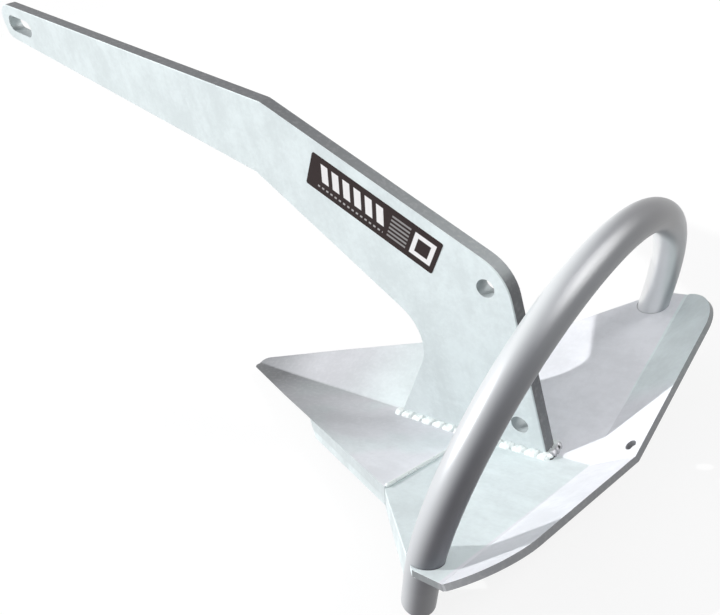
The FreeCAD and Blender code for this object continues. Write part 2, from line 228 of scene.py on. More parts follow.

# %% [markdown]
# ## The zinc on the plates
# Hot-dip zinc dries pale and almost matt, with soft clouds a few centimetres wide, a
# faint grain between them, and streaks where it drained from the steel as it was lifted
# from the bath. A picture of zinc would need the plates unwrapped and would show seams
# at their folds. Noise in the object's own space has none, so each pattern is a noise of
# its own size. One function makes the zinc for every plate. The pieces differ in two
# masks: one says where the zinc is darker, which on the edges and in the holes is
# painted shade, and one where its tint turns from cyan to violet.

# %% Zinc for flat steel
CYAN_ZINC = colour(0.84, 0.92, 0.93)
VIOLET_ZINC = colour(0.867, 0.877, 0.917)
CYAN_CLOUD_SHADE = 0.88
VIOLET_CLOUD_SHADE = 0.90
# The two dull colours below also serve as the painted shade on edges and in holes.
DULL_AND_SHADED_ZINC = colour(0.152, 0.157, 0.164)
DULL_AND_SHADED_STREAK = colour(0.205, 0.207, 0.212)
CLOUD_PATCH = 0.045
DRAIN_PATCH = 0.016
GRAIN_PATCH = 0.0045
CLOUD_WEIGHT = 0.55
DRAIN_WEIGHT = 0.30
GRAIN_WEIGHT = 0.20
CLOUD_TO_PALE = (0.40, 0.66)
DULL_AND_SHADED_TO_STREAK = (0.45, 0.75)
ZINC_ROUGHNESS = 0.42
CLOUD_ROUGHNESS = 0.2
GRAIN_BUMP = 0.5
CLOUD_BUMP = 2.0
ZINC_BUMP_STRENGTH = 0.25
ZINC_BUMP_HEIGHT = 0.0006


def shaded(tint, share):
    """The tint with only a share of its light."""
    return colour(*(channel * share for channel in tint[:3]))


def zinc(name, dull_and_shade_mask, violet_mask, streak):
    """Pale mottled zinc, faintly violet or cyan, darker where the first mask is 1; on edges and in
    holes that is painted shade.
    """
    finish = Finish(name, Metallic=0.04, Specular_IOR_Level=0.25)
    clouds = finish.mottle(CLOUD_PATCH, detail=4.0, roughness=0.6)
    grain = finish.mottle(GRAIN_PATCH, roughness=0.6)
    lines = finish.mottle(DRAIN_PATCH, detail=3.0, roughness=0.55, stretch=streak)
    tone = (clouds * CLOUD_WEIGHT + lines * DRAIN_WEIGHT + grain * GRAIN_WEIGHT).within(*CLOUD_TO_PALE)
    violet = violet_mask(finish)
    pale = finish.blend(violet, CYAN_ZINC, VIOLET_ZINC)
    cyan_cloud = shaded(CYAN_ZINC, CYAN_CLOUD_SHADE)
    violet_cloud = shaded(VIOLET_ZINC, VIOLET_CLOUD_SHADE)
    cloud = finish.blend(violet, cyan_cloud, violet_cloud)
    dull_and_shaded = finish.blend(grain.within(*DULL_AND_SHADED_TO_STREAK), DULL_AND_SHADED_ZINC, DULL_AND_SHADED_STREAK)
    height = grain * GRAIN_BUMP + lines + clouds * CLOUD_BUMP
    finish.surface(
        Base_Color=finish.blend(dull_and_shade_mask(finish), finish.blend(tone, cloud, pale), dull_and_shaded),
        Roughness=ZINC_ROUGHNESS + clouds * CLOUD_ROUGHNESS,
        Normal=finish.bumps(height, ZINC_BUMP_STRENGTH, ZINC_BUMP_HEIGHT))
    return finish.material


# The dull zinc that this prints is also the painted shade on edges and in holes.
print("pale zinc:", CYAN_ZINC[:3], "to", VIOLET_ZINC[:3], "dull zinc:", DULL_AND_SHADED_ZINC[:3])

# %% [markdown]
# ### Where the shank is darker
# The cut edges that look away from the lamps, which stand ahead, get painted shade, most
# of all on the arm and astern. The shader finds them by their normal on the object
# itself: the shank's faces look to port or starboard, so whatever looks elsewhere is an
# edge. The narrow bevel between the two keeps the pale finish and draws a thin light
# line, as on the real plate. The walls of the holes and the slot would count as edges
# too, so they are found by their places and get a lighter painted shade of their own,
# which in the slot falls only on its lower wall. The faces are also a little darker
# towards the foot and the heel.

# %% The shank's edges, holes and slot
EDGE_TO_FACE = (0.35, 0.60)
ARM_EDGE_X = (-0.80, -0.02)
LOOKS_AHEAD = (0.2, 0.6)
LOOKS_ASTERN = (0.55, 0.99)
SHANK_HOLES = ((-0.27166, 0.1787), (-0.28516, 0.0437))
HOLE_REACH = 0.0105
HOLE_FADE = 1.1
HOLE_WALL_SHARE = 0.47
SLOT_X = 0.3537
SLOT_Z = 0.4512
SLOT_TILT = math.radians(19.5)
SLOT_ENDS = (0.028, 0.030)
SLOT_SIDES = (0.0105, 0.0125)
SLOT_LOOKS_UP = (0.2, 0.6)
SLOT_WALL_SHARE = 0.5
FOOT_Z = (0.02, 0.22)
FOOT_SHARE = 0.27
HEEL_X = (-0.30, 0.16)
HEEL_SHARE = 0.08


def hole_wall_shade(x, z, strong):
    """Painted shade on the edges, and a lighter painted shade on the wall of each round hole."""
    for hole_x, hole_z in SHANK_HOLES:
        square = (x - hole_x) * (x - hole_x) + (z - hole_z) * (z - hole_z)
        in_hole = 1 - square.within(HOLE_REACH ** 2, HOLE_REACH ** 2 * HOLE_FADE)
        strong = strong * (1 - in_hole) + in_hole * HOLE_WALL_SHARE
    return strong


def slot_wall_shade(x, z, up, strong):
    """Painted shade on the edges, and a lighter painted shade on the slot's lower wall."""
    ahead_of_slot = x - SLOT_X
    above_slot = z - SLOT_Z
    along = ahead_of_slot * math.cos(SLOT_TILT) + above_slot * math.sin(SLOT_TILT)
    across = above_slot * math.cos(SLOT_TILT) - ahead_of_slot * math.sin(SLOT_TILT)
    in_slot = (1 - along.size().within(*SLOT_ENDS)) * (1 - across.size().within(*SLOT_SIDES))
    return strong * (1 - in_slot) + in_slot * up.within(*SLOT_LOOKS_UP) * SLOT_WALL_SHARE


def shank_shade_and_dulling(finish):
    """Painted shade on the edges, most of all on the arm and astern, and a slightly darker foot and
    heel.
    """
    x, _, z = finish.split(finish.place)
    ahead, across, up = finish.split(finish.facing)
    edge = 1 - across.size().within(*EDGE_TO_FACE)
    # The edges that look away from the lamps get the strongest painted shade.
    upper_edge = x.within(*ARM_EDGE_X) * (1 - ahead.within(*LOOKS_AHEAD))
    strong = upper_edge.larger((ahead * -1).within(*LOOKS_ASTERN))
    strong = hole_wall_shade(x, z, strong)
    strong = slot_wall_shade(x, z, up, strong)
    foot = (1 - z.within(*FOOT_Z)) * FOOT_SHARE + (1 - x.within(*HEEL_X)) * HEEL_SHARE
    return edge * strong + (1 - edge) * foot


print("shank holes:", SHANK_HOLES, "slot:", (SLOT_X, SLOT_Z))

# %% [markdown]
# ### Where the blade is darker
# The rear plate is folded, so no one direction tells its faces from its edges. Its edges
# are what looks neither ahead nor up nor down, and they get painted shade. So does the
# wall of the small hole in the flap, which is what lies near the hole's middle and looks
# across its axis. The toe is greyer towards the tip on both halves of its upper side.
# The skids are only mottled.

# %% The rear plate's edges and hole
FLAP_FOLD_X = -0.3440
FOLD_FADE = 0.001
PORT_HALF_Y = (-0.004, 0.004)
REAR_EDGE_LOOKS = (-0.35, -0.05)
REAR_EDGE_TILT = (0.55, 0.75)
REAR_EDGE_SHARE = 0.80
FLAP_HOLE = (-0.3754, -0.0146, 0.0350)
FLAP_HOLE_AXIS = (0.520, 0.222, 0.825)
FLAP_HOLE_REACH = (0.0065, 0.0070)
FLAP_HOLE_LOOKS = (0.3, 0.6)
FLAP_HOLE_SHARE = 0.7
PORT_FLOOR_X = (-0.34, -0.24)
PORT_FLOOR_SHARE = 0.06


def ahead_of_fold(x):
    """1 on the floor of the rear plate, and 0 on its flap."""
    return x.within(FLAP_FOLD_X - FOLD_FADE, FLAP_FOLD_X + FOLD_FADE)


def rear_shade_and_dulling(finish):
    """Painted shade on the edges and the hole's wall, and a port floor a little darker ahead."""
    x, y, _ = finish.split(finish.place)
    ahead, _, up = finish.split(finish.facing)
    # The edges and the flap hole's wall get painted shade.
    edge = (ahead * -1).within(*REAR_EDGE_LOOKS) * (1 - up.size().within(*REAR_EDGE_TILT))
    near_hole = 1 - finish.distance(finish.place, FLAP_HOLE).within(*FLAP_HOLE_REACH)
    along_axis = finish.dot(finish.facing, FLAP_HOLE_AXIS).size()
    hole_wall = near_hole * (1 - along_axis.within(*FLAP_HOLE_LOOKS))
    port_floor = ahead_of_fold(x) * y.within(*PORT_HALF_Y)
    floor_share = PORT_FLOOR_SHARE + x.within(*PORT_FLOOR_X) * PORT_FLOOR_SHARE
    return (edge * REAR_EDGE_SHARE).larger(hole_wall * FLAP_HOLE_SHARE) + port_floor * floor_share


print("flap fold at x =", FLAP_FOLD_X, "flap hole at", FLAP_HOLE)

# %% The toe and the skids
UPPER_FACE = (0.4, 0.8)
TOE_PORT_Y = (-0.003, 0.002)
TOE_PORT_START_X = -0.242
TOE_PORT_SLOPE = 3.15
TOE_PORT_TIP_X = (-0.03, 0.08)
TOE_PORT_TIP_SHARE = 0.16
TOE_STARBOARD_SHARE = 0.25
TOE_STARBOARD_MIDDLE_X = (-0.12, -0.04)
TOE_STARBOARD_MIDDLE_SHARE = 0.16
TOE_STARBOARD_TIP_X = (-0.01, 0.09)
TOE_STARBOARD_TIP_SHARE = 0.40
TOE_SIDE_SHARE = 0.38
SKID_PATCH = 0.03
SKID_SHARE = 0.5


def toe_dulling(finish):
    """Duller towards the tip on the upper faces, and a little on the sides."""
    x, y, _ = finish.split(finish.place)
    upper = finish.split(finish.facing)[2].within(*UPPER_FACE)
    to_port = y.within(*TOE_PORT_Y)
    port_share = ((x - TOE_PORT_START_X) * TOE_PORT_SLOPE).larger(0.0)
    port_share = port_share + x.within(*TOE_PORT_TIP_X) * TOE_PORT_TIP_SHARE
    starboard_share = (TOE_STARBOARD_SHARE
                       + x.within(*TOE_STARBOARD_MIDDLE_X) * TOE_STARBOARD_MIDDLE_SHARE
                       + x.within(*TOE_STARBOARD_TIP_X) * TOE_STARBOARD_TIP_SHARE)
    share = to_port * port_share + (1 - to_port) * starboard_share
    return upper * share + (1 - upper) * TOE_SIDE_SHARE


def skid_dulling(finish):
    """Soft patches all over."""
    return finish.mottle(SKID_PATCH) * SKID_SHARE


print("the toe is dullest ahead of x =", TOE_PORT_TIP_X[0])

# %% [markdown]
# ### Where the zinc turns violet
# The tint changes between the faces of the folded plates. The toe is
# violet but for its starboard half near the shank, and so are the starboard half of the
# rear plate's floor and most of its flap. The rest is cyan. A mask for each plate says so.

# %% The violet fields
VIOLET_PATCH = 0.07
VIOLET_PATCH_EDGE = (0.40, 0.56)
VIOLET_LEAST = 0.35
VIOLET_TOE_TIP_X = (-0.04, 0.04)
VIOLET_TOE_STARBOARD_X = (-0.13, -0.02)
VIOLET_FLAP_Y = (-0.09, -0.06)


def nowhere(finish):
    """A mask that is 0 all over."""
    return 0.0


def toe_violet(finish):
    """Upper faces only: patchy to port, and turning cyan near the shank to starboard."""
    x, y, _ = finish.split(finish.place)
    to_port = y.within(*TOE_PORT_Y)
    patches = finish.mottle(VIOLET_PATCH).within(*VIOLET_PATCH_EDGE)
    port_share = (VIOLET_LEAST + patches * (1 - VIOLET_LEAST)).larger(x.within(*VIOLET_TOE_TIP_X))
    share = to_port * port_share + (1 - to_port) * x.within(*VIOLET_TOE_STARBOARD_X)
    return finish.split(finish.facing)[2].within(*UPPER_FACE) * share


def rear_violet(finish):
    """The rear plate's floor to starboard, and the flap where it faces the light."""
    x, y, _ = finish.split(finish.place)
    floor = ahead_of_fold(x)
    to_port = y.within(*PORT_HALF_Y)
    return (1 - to_port) * floor + (1 - floor) * y.within(*VIOLET_FLAP_Y)


print("violet patches are about", VIOLET_PATCH, "m wide")

# %% [markdown]
# Each plate gets its two masks and the way in which it drained. The streaks are noise
# that is stretched: the smaller number is the direction in which they are long.

# %% The four finishes of the plates
DRAINED_DOWN = (1, 1, 0.2)
DRAINED_AFT = (0.3, 1, 1)
shank_zinc = zinc("shank_zinc", shank_shade_and_dulling, nowhere, DRAINED_DOWN)
rear_zinc = zinc("rear_zinc", rear_shade_and_dulling, rear_violet, DRAINED_AFT)
toe_zinc = zinc("toe_zinc", toe_dulling, toe_violet, DRAINED_AFT)
skid_zinc = zinc("skid_zinc", skid_dulling, nowhere, DRAINED_AFT)
print("plate finishes:", shank_zinc.name, rear_zinc.name, toe_zinc.name, skid_zinc.name)

# %% [markdown]
# ## The zinc on the tube
# The tube's colour holds painted light and shade. It is painted pale on the side that looks
# ahead to port, towards the key lamp, and painted grey astern, darkest at the port foot,
# near the ground and on the top to starboard. The starboard leg stands in the shank's
# shadow and is painted pale nearly all round, as painted light and reflection. One grey
# with light and shade would come close, but its dark side would be too pale, so two
# colours are mixed by the way in which the surface faces. The zinc is also smoother than
# on the plates, and a lamp leaves a streak along it.

# %% Where the tube is painted light
# The tube is painted light on the side towards this direction, near the key lamp, and painted shade on
# the side away from it.
LIGHT_SIDE_DIRECTION = (0.69, 0.68, 0.25)
PORT_FOOT_Y = (0.08, 0.20)
STARBOARD_LEG_Y = (-0.15, -0.08)
STARBOARD_TOP_Y = (-0.06, 0.05)
NEAR_GROUND_Z = (0.05, 0.17)
SHADE_SIDE_RISE_NEAR_GROUND = 0.20
LIGHT_SIDE_RISE_NEAR_GROUND = 0.36
SHADE_SIDE_DROP_ON_LEG = 0.45
LIGHT_SIDE_DROP_ON_LEG = 1.0
LIGHT_SIDE_FROM = 0.90

tube_finish = Finish("tube_zinc", Specular_IOR_Level=0.6)
_, tube_y, tube_z = tube_finish.split(tube_finish.place)
port_foot = tube_y.within(*PORT_FOOT_Y)
starboard_leg = 1 - tube_y.within(*STARBOARD_LEG_Y)
starboard_top = 1 - tube_y.within(*STARBOARD_TOP_Y)
near_ground = 1 - tube_z.within(*NEAR_GROUND_Z)
shade_side_until = near_ground * SHADE_SIDE_RISE_NEAR_GROUND - starboard_leg * SHADE_SIDE_DROP_ON_LEG
light_side_from = LIGHT_SIDE_FROM + near_ground * LIGHT_SIDE_RISE_NEAR_GROUND - starboard_leg * LIGHT_SIDE_DROP_ON_LEG
light_side_share = tube_finish.dot(tube_finish.facing, LIGHT_SIDE_DIRECTION).within(shade_side_until, light_side_from)
# This prints the direction in which the tube is painted lightest.
print("the tube's coat is thickest towards", LIGHT_SIDE_DIRECTION)

# %% Zinc for the hoop
# The first four colours are painted shade on the tube, the next three painted light; on the starboard
# leg both are paler, as painted light.
SHADE_SIDE_ZINC = colour(0.29, 0.30, 0.32)
SHADE_SIDE_TOP = colour(0.165, 0.165, 0.175)
SHADE_SIDE_FOOT = colour(0.060, 0.060, 0.075)
SHADE_SIDE_LEG = colour(0.45, 0.48, 0.50)
LIGHT_SIDE_ZINC = colour(0.84, 0.87, 0.88)
LIGHT_SIDE_FOOT = colour(0.65, 0.67, 0.69)
LIGHT_SIDE_LEG = colour(0.92, 0.93, 0.93)
TUBE_CLOUD = colour(0.45, 0.45, 0.47)
TUBE_CLOUD_SHARE = 0.25
TUBE_CLOUD_PATCH = 0.06
TUBE_GRAIN_PATCH = 0.004
LIGHT_SIDE_METAL = 0.5
LEG_METAL = 0.4
TUBE_ROUGHNESS = 0.28
TUBE_CLOUD_ROUGHNESS = 0.12
TUBE_GRAIN_BUMP = 0.3
TUBE_BUMP_STRENGTH = 0.15
TUBE_BUMP_HEIGHT = 0.0005

tube_clouds = tube_finish.mottle(TUBE_CLOUD_PATCH, detail=3.0, roughness=0.55)
tube_grain = tube_finish.mottle(TUBE_GRAIN_PATCH, roughness=0.6)
shade_side = tube_finish.blend(starboard_top, SHADE_SIDE_ZINC, SHADE_SIDE_TOP)
shade_side = tube_finish.blend(port_foot, shade_side, SHADE_SIDE_FOOT)
shade_side = tube_finish.blend(starboard_leg, shade_side, SHADE_SIDE_LEG)
light_side = tube_finish.blend(port_foot, LIGHT_SIDE_ZINC, LIGHT_SIDE_FOOT)
light_side = tube_finish.blend(starboard_leg, light_side, LIGHT_SIDE_LEG)
coat = tube_finish.blend(light_side_share, shade_side, light_side)
tube_height = tube_clouds + tube_grain * TUBE_GRAIN_BUMP
tube_finish.surface(
    Base_Color=tube_finish.blend(tube_clouds * TUBE_CLOUD_SHARE, coat, TUBE_CLOUD),
    Metallic=light_side_share * (LIGHT_SIDE_METAL + starboard_leg * LEG_METAL),
    Roughness=TUBE_ROUGHNESS + tube_clouds * TUBE_CLOUD_ROUGHNESS,
    Normal=tube_finish.bumps(tube_height, TUBE_BUMP_STRENGTH, TUBE_BUMP_HEIGHT))
print("tube finish:", tube_finish.material.name)

# %% [markdown]
# ## The zinc on the welds
# Weld metal takes the thickest zinc, so the beads are the brightest places on the
# anchor, with a fine grain. Behind the heel the last lumps didn't quite run together, and
# a few pits show between them. The lumps there are painted grey as painted shade, and the
# pits black as painted shade. A dark spot alone would look painted on, so the beads' own
# meshes are pushed in at the pits as well.

# %% Zinc for the beads
PIT_PLACES = (Vector((-0.3127, -0.0065, 0.0180)), Vector((-0.3146, -0.0010, 0.0142)),
              Vector((-0.3146, 0.0045, 0.0148)), Vector((-0.3145, 0.0075, 0.0156)),
              Vector((-0.3142, 0.0100, 0.0163)))
PIT_CORE = 0.0012
PIT_REACH = 0.0020
PIT_DEPTH = 0.0012
# The black in the pits is painted shade.
PIT_SHADE_BLACK = colour(0.02, 0.02, 0.02)
BEAD_GREY = colour(0.56, 0.58, 0.59)
BEAD_PALE = colour(0.80, 0.85, 0.84)
BEAD_GREY_TO_PALE = (0.25, 0.45)
BEAD_GRAIN_PATCH = 0.003
BEAD_BUMP_STRENGTH = 0.4
BEAD_BUMP_HEIGHT = 0.0005
# The grey behind the heel is painted shade.
HEEL_SHADE_GREY = colour(0.42, 0.42, 0.44)
BEHIND_HEEL_X = (-0.3125, -0.3085)
BEHIND_HEEL_Y = (0.0045, 0.0075)

bead_finish = Finish("bead_zinc", Metallic=0.05, Roughness=0.42)
bead_grain = bead_finish.mottle(BEAD_GRAIN_PATCH, detail=3.0, roughness=0.6)
bead_shade = bead_finish.blend(bead_grain.within(*BEAD_GREY_TO_PALE), BEAD_GREY, BEAD_PALE)
bead_x, bead_y, _ = bead_finish.split(bead_finish.place)
behind_heel = (1 - bead_x.within(*BEHIND_HEEL_X)) * (1 - bead_y.within(*BEHIND_HEEL_Y))
bead_shade = bead_finish.blend(behind_heel, bead_shade, HEEL_SHADE_GREY)
pit_shade_mask = 0.0
for pit in PIT_PLACES:
    pit_shade_mask = pit_shade_mask + (1 - bead_finish.distance(bead_finish.place, pit).within(PIT_CORE, PIT_REACH))
bead_finish.surface(
    Base_Color=bead_finish.blend(pit_shade_mask.within(0, 1), bead_shade, PIT_SHADE_BLACK),
    Normal=bead_finish.bumps(bead_grain, BEAD_BUMP_STRENGTH, BEAD_BUMP_HEIGHT))
print("bead finish:", bead_finish.material.name, "with", len(PIT_PLACES), "pits")

# %% Give every CAD node its finish
finishes = {"shank": shank_zinc, "rear_plate": rear_zinc, "toe_plate": toe_zinc,
            "roll_bar": tube_finish.material, "port_skid": skid_zinc, "starboard_skid": skid_zinc}
for name, piece in nodes.items():
    piece.data.materials.clear()
    piece.data.materials.append(finishes.get(name, bead_finish.material))
print("dressed:", sorted(nodes))

# %% [markdown]
# ## The weld beads
# The shank is held by a row of separate tacks, each about a centimetre long and flat on
# top, with a narrow notch between it and the next. A row of spheres would look like
# pearls. Instead, one tube is swept along the corner, and its radius follows a wave that
# is flat along each tack and drops sharply at each notch. The wave leans a little round
# the tube, so that the notches slant, and noise makes each tack its own.

# %% The line that a bead follows
RING_STEP = 0.0005


def bead_rings(points):
    """Places, directions and distances along a line of straight runs."""
    rings = []
    travelled = 0.0
    for start, end in zip(points[:-1], points[1:]):
        run = end - start
        count = max(int(round(run.length / RING_STEP)), 1)
        for step in range(count):
            share = step / count
            rings.append((start + run * share, run.normalized(), travelled + run.length * share))
        travelled += run.length
    rings.append((points[-1], (points[-1] - points[-2]).normalized(), travelled))
    return rings, travelled


print("a ring of a bead every", RING_STEP * 1000, "mm")

# %% A skin over rings
def skin(name, loops, first_tip, last_tip):
    """A smooth closed mesh over rings of points, with a point at each end."""
    builder = bmesh.new()
    rows = [[builder.verts.new(spot) for spot in loop] for loop in loops]
    around = [(step, (step + 1) % len(rows[0])) for step in range(len(rows[0]))]
    for before, after in zip(rows[:-1], rows[1:]):
        for step, beside in around:
            builder.faces.new((before[step], before[beside], after[beside], after[step]))
    for row, tip in ((rows[0], first_tip), (rows[-1], last_tip)):
        pole = builder.verts.new(tip)
        for step, beside in around:
            builder.faces.new((row[step], row[beside], pole))
    bmesh.ops.recalc_face_normals(builder, faces=builder.faces)
    mesh = bpy.data.meshes.new(name)
    builder.to_mesh(mesh)
    builder.free()
    for face in mesh.polygons:
        face.use_smooth = True
    return mesh


print("a skin has one face between each two points of a ring")

# %% A swept bead
RING_POINTS = 24
NOTCH_SHARPNESS = 5
TACK_NOISE_STEP = 7.3
TACK_NOISE_SCALE = 1000
TACK_NOISE_HEIGHT = 0.5
ROUGH_NOISE_SCALE = 420


def sweep_bead(name, points, radius, pitch, notch, slant, rough):
    """A weld bead along the points, with round ends."""
    lead = (points[0] - points[1]).normalized() * radius
    tail = (points[-1] - points[-2]).normalized() * radius
    rings, length = bead_rings([points[0] + lead] + list(points[1:-1]) + [points[-1] + tail])
    loops = []
    for place, ahead, travelled in rings[1:-1]:
        from_end = min(travelled, length - travelled, radius)
        end_round = math.sqrt(1 - (1 - from_end / radius) ** 2)
        side = ahead.cross(Vector((0, 0, 1))).normalized()
        above = side.cross(ahead)
        loop = []
        for step in range(RING_POINTS):
            angle = 2 * math.pi * step / RING_POINTS
            out = side * math.cos(angle) + above * math.sin(angle)
            beat = (travelled - radius) / pitch + slant * math.cos(angle) + 0.5
            from_middle = abs(2 * (beat % 1) - 1)
            swell = 1 - (1 - notch) * from_middle ** NOTCH_SHARPNESS
            tack = math.floor(beat) * TACK_NOISE_STEP
            own = 1 + rough * noise.noise(Vector((tack, radius * TACK_NOISE_SCALE, TACK_NOISE_HEIGHT)))
            spot = place + out * (radius * swell * end_round * own)
            spot += out * (rough * radius * end_round * noise.noise(spot * ROUGH_NOISE_SCALE))
            for pit in PIT_PLACES:
                spot -= out * PIT_DEPTH * max(0.0, 1 - (spot - pit).length / PIT_REACH)
            loop.append(spot)
        loops.append(loop)
    return skin(name, loops, rings[0][0], rings[-1][0])


print("a ring of a bead has", RING_POINTS, "points")

# %% Beads in place of CAD nodes
def add_weld(name, mesh, node):
    """Put a bead in the scene in place of a CAD node."""
    piece = bpy.data.objects.new(name, mesh)
    bpy.context.scene.collection.objects.link(piece)
    mesh.materials.append(bead_finish.material)
    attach(piece, "root")
    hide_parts(node)
    print(name, "has", len(mesh.polygons), "faces")


print("weld nodes to replace:", sorted(name for name in nodes if name.endswith("_weld")))

# %% [markdown]
# The tacks follow the corner between the shank and the blade, on each side. The blade
# rises from its fold to both sides, and its rear plate also climbs astern, so the line's
# height comes from those slopes, ahead of the seam and behind it.

# %% The tacks along the shank's foot
FOLD_HEIGHT = 0.0104
TOE_RISE = 0.28675
REAR_RISE = 0.27732
REAR_CLIMB = 0.03492
SEAM_X = -0.23146
FOOT_FRONT_X = -0.1435
FOOT_HEEL_X = -0.3083
TACK_LINE_Y = 0.0090
TACK_RADIUS = 0.0055
TACK_PITCH = 0.0128
TACK_NOTCH = 0.50
TACK_SLANT = 0.20
TACK_ROUGH = 0.14


def on_toe(x, y):
    """A point on the toe's upper side."""
    return Vector((x, y, FOLD_HEIGHT + TOE_RISE * abs(y)))


def on_rear(x, y):
    """A point on the rear plate's upper side, between the seam and the flap."""
    return Vector((x, y, FOLD_HEIGHT + REAR_RISE * abs(y) + REAR_CLIMB * (SEAM_X - x)))


for side, sign in (("port", 1), ("starboard", -1)):
    corner = [on_toe(FOOT_FRONT_X, sign * TACK_LINE_Y), on_toe(SEAM_X, sign * TACK_LINE_Y),
              on_rear(FOOT_HEEL_X, sign * TACK_LINE_Y)]
    tacks = sweep_bead(side + "_shank_tacks", corner, TACK_RADIUS,
                       pitch=TACK_PITCH, notch=TACK_NOTCH, slant=sign * TACK_SLANT, rough=TACK_ROUGH)
    add_weld(side + "_shank_tacks", tacks, side + "_shank_weld")

# %% [markdown]
# The seam across the blade is one smooth thin pass. A plain tube would look extruded,
# so it is the same sweep with a short and shallow wave.

# %% The bead across the seam
SEAM_INNER_Y = 0.0135
SEAM_OUTER_Y = 0.1290
SEAM_BEAD_RADIUS = 0.0019
SEAM_PITCH = 0.0028
SEAM_NOTCH = 0.93
SEAM_SLANT = 0.1
SEAM_ROUGH = 0.05
for side, sign in (("port", 1), ("starboard", -1)):
    line = [on_toe(SEAM_X, sign * SEAM_INNER_Y), on_toe(SEAM_X, sign * SEAM_OUTER_Y)]
    seam_pass = sweep_bead(side + "_seam_pass", line, SEAM_BEAD_RADIUS,
                           pitch=SEAM_PITCH, notch=SEAM_NOTCH, slant=SEAM_SLANT, rough=SEAM_ROUGH)
    add_weld(side + "_seam_pass", seam_pass, side + "_seam_weld")

# %% [markdown]
# Behind the heel a short bead closes the end of the foot, in three or four lumps. It is
# the same sweep with a short pitch, and it takes in most of the pits.

# %% The lumps behind the heel
HEEL_LUMP_X = FOOT_HEEL_X - 0.0014
HEEL_LUMP_Y = 0.0075
HEEL_LUMP_Z = 0.0152
HEEL_LUMP_RADIUS = 0.0050
HEEL_LUMP_PITCH = 0.0062
HEEL_LUMP_NOTCH = 0.70
HEEL_LUMP_SLANT = 0.1
heel_line = [Vector((HEEL_LUMP_X, y, HEEL_LUMP_Z)) for y in (HEEL_LUMP_Y, -HEEL_LUMP_Y)]
lumps = sweep_bead("heel_lumps", heel_line, HEEL_LUMP_RADIUS, pitch=HEEL_LUMP_PITCH,
                   notch=HEEL_LUMP_NOTCH, slant=HEEL_LUMP_SLANT, rough=TACK_ROUGH)
add_weld("heel_lumps", lumps, "shank_heel_weld")

# %% [markdown]
# ## The welds out of sight
# Below the blade, the step, the skids and the feet of the hoop have welds too, and one
# closes the front end of the shank's foot. Their CAD solids are plain rods and rings that
# already fit, and only lack an uneven surface. So a copy of each is remeshed into small
# even faces, which are then moved in and out by noise.

# %% Lumpy copies of the hidden welds
LUMP_VOXEL = 0.0006
LUMP_HEIGHT = 0.0006
LUMP_SPACING = 0.0035
LUMP_SINK = 0.5


def lumpy_copy(node):
    """A finely remeshed copy of a CAD weld with an uneven surface."""
    draft = bpy.data.objects.new(node + "_draft", nodes[node].data.copy())
    bpy.context.scene.collection.objects.link(draft)
    remesh = draft.modifiers.new("even", "REMESH")
    remesh.mode = "VOXEL"
    remesh.voxel_size = LUMP_VOXEL
    graph = bpy.context.evaluated_depsgraph_get()
    mesh = bpy.data.meshes.new_from_object(draft.evaluated_get(graph))
    bpy.data.objects.remove(draft)
    middles = [vertex.co.copy() for vertex in mesh.vertices]
    normals = [vertex.normal.copy() for vertex in mesh.vertices]
    for vertex, middle, normal in zip(mesh.vertices, middles, normals):
        vertex.co = middle + normal * (LUMP_HEIGHT * (noise.noise(middle / LUMP_SPACING) - LUMP_SINK))
    for face in mesh.polygons:
        face.use_smooth = True
    mesh.materials.clear()
    mesh.name = node + "_lumps"
    return mesh


for node in ("seam_under_weld", "port_roll_bar_weld", "starboard_roll_bar_weld",
             "port_skid_weld", "starboard_skid_weld", "shank_front_weld"):
    add_weld(node + "_lumps", lumpy_copy(node), node)

# %% [markdown]
# ## The sticker
# The sticker is a thin black sheet with plain white shapes: a row of slanted bars over a
# dashed line, a block of fine lines and an empty square. They could be thin raised
# pieces, but they are drawn in the shader, from distances along and across the sheet,
# because then they stay flat and sharp at any size.

# %% Distances along and across the sticker
LABEL_SLOPE = math.radians(31.8)
label_low, label_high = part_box("label")
label_middle = (Vector(label_low) + Vector(label_high)) / 2

sticker = Finish("sticker_face", Roughness=0.5, Specular_IOR_Level=0.2)
x, _, z = sticker.split(sticker.place)
from_middle_x = x - label_middle.x
from_middle_z = z - label_middle.z
aft = (from_middle_x * math.cos(LABEL_SLOPE) + from_middle_z * math.sin(LABEL_SLOPE)) * -1
above = from_middle_z * math.cos(LABEL_SLOPE) - from_middle_x * math.sin(LABEL_SLOPE)
print("sticker middle:", [round(value, 4) for value in label_middle])

# %% Bars and stripes
SOFT = 0.0003


def bar(along, across, middle, height, half_length, half_height):
    """1 inside a rectangle on the sticker, in metres from its middle."""
    in_length = 1 - (along - middle).size().within(half_length - SOFT, half_length + SOFT)
    in_height = 1 - (across - height).size().within(half_height - SOFT, half_height + SOFT)
    return in_length * in_height


def stripes(distance, pitch, share):
    """1 on stripes that fill a share of each pitch."""
    off_middle = ((distance / pitch).beat() - 0.5).size() * pitch
    return 1 - off_middle.within(share * pitch / 2 - SOFT, share * pitch / 2 + SOFT)


print("edges on the sticker are", round(SOFT * 2000, 2), "mm soft")

